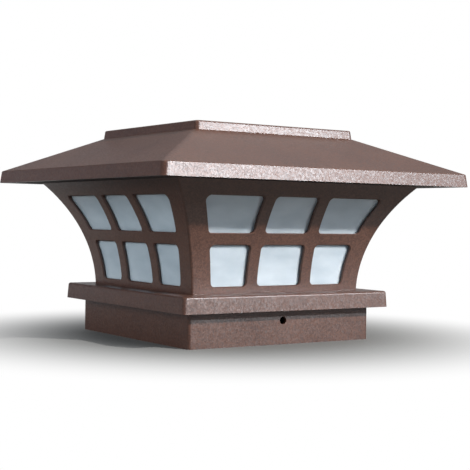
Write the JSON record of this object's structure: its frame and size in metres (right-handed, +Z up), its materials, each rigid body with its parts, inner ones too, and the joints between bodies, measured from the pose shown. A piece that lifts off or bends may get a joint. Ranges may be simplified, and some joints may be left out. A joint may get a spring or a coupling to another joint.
{
  "type": "solar post light",
  "caption": "Square solar post-cap light: hipped roof with a solar panel, flared windowed lantern with frosted panes, plinth and a sleeve that slips over a square post.",
  "frame": {"origin": "centre of the post sleeve's bottom rim", "axes": "+Z up along the post, -Y out of the face with the front fixing hole, +X to that face's right"},
  "size_m": [0.222, 0.222, 0.1327],
  "materials": {
    "bronze_coat": "moulded ABS with a hammered bronze metallic coat",
    "frosted_acrylic": "frosted acrylic sheet, satin outer face",
    "white_plastic": "white moulded ABS",
    "screw_steel": "zinc-plated steel",
    "backboard": "white glass-fibre laminate",
    "silicon_cell": "blue-black silicon wafer",
    "panel_glass": "tempered clear glass",
    "sealant": "black silicone rubber",
    "wire_sleeve": "soft PVC wire sleeve",
    "board_laminate": "green solder mask over glass-fibre laminate",
    "component_black": "black moulded plastic",
    "led_phosphor": "yellow phosphor in a white package",
    "clear_acrylic": "clear moulded acrylic",
    "battery_wrap": "steel can in a printed-free green sleeve",
    "spring_nickel": "nickel-plated spring steel"
  },
  "bodies": {
    "lantern": {"post_sleeve": "bronze_coat", "plinth": "bronze_coat", "lantern_frame": "bronze_coat", "pane_front": "frosted_acrylic", "pane_right": "frosted_acrylic", "pane_back": "frosted_acrylic", "pane_left": "frosted_acrylic", "floor_reflector": "white_plastic", "base_screws": "screw_steel"},
    "roof": {"roof_shell": "bronze_coat", "soffit_plate": "bronze_coat", "lamp_tray": "white_plastic", "roof_screws": "screw_steel", "solar_backboard": "backboard", "solar_cells": "silicon_cell", "solar_glass": "panel_glass", "panel_sealant": "sealant", "panel_leads": "wire_sleeve", "circuit_board": "board_laminate", "board_components": "component_black", "board_screws": "screw_steel", "led_chips": "led_phosphor", "led_lens": "clear_acrylic", "switch_body": "component_black", "battery_cell": "battery_wrap", "battery_contacts": "spring_nickel", "battery_leads": "wire_sleeve", "bay_seal": "sealant", "door_hinge_pin": "screw_steel"},
    "door": {"battery_door": "white_plastic"},
    "switch": {"switch_slider": "component_black"}
  },
  "joints": [
    {"name": "roof_lift", "type": "slide", "parent": "lantern", "child": "roof", "axis": [0, 0, 1], "range_m": [0, 0.08]},
    {"name": "battery_door_hinge", "type": "hinge", "parent": "roof", "child": "door", "pos_m": [0, 0.04505, 0.0974], "axis": [1, 0, 0], "range_deg": [0, 100]},
    {"name": "switch_slide", "type": "slide", "parent": "roof", "child": "switch", "axis": [1, 0, 0], "range_m": [0, 0.004]}
  ]
}
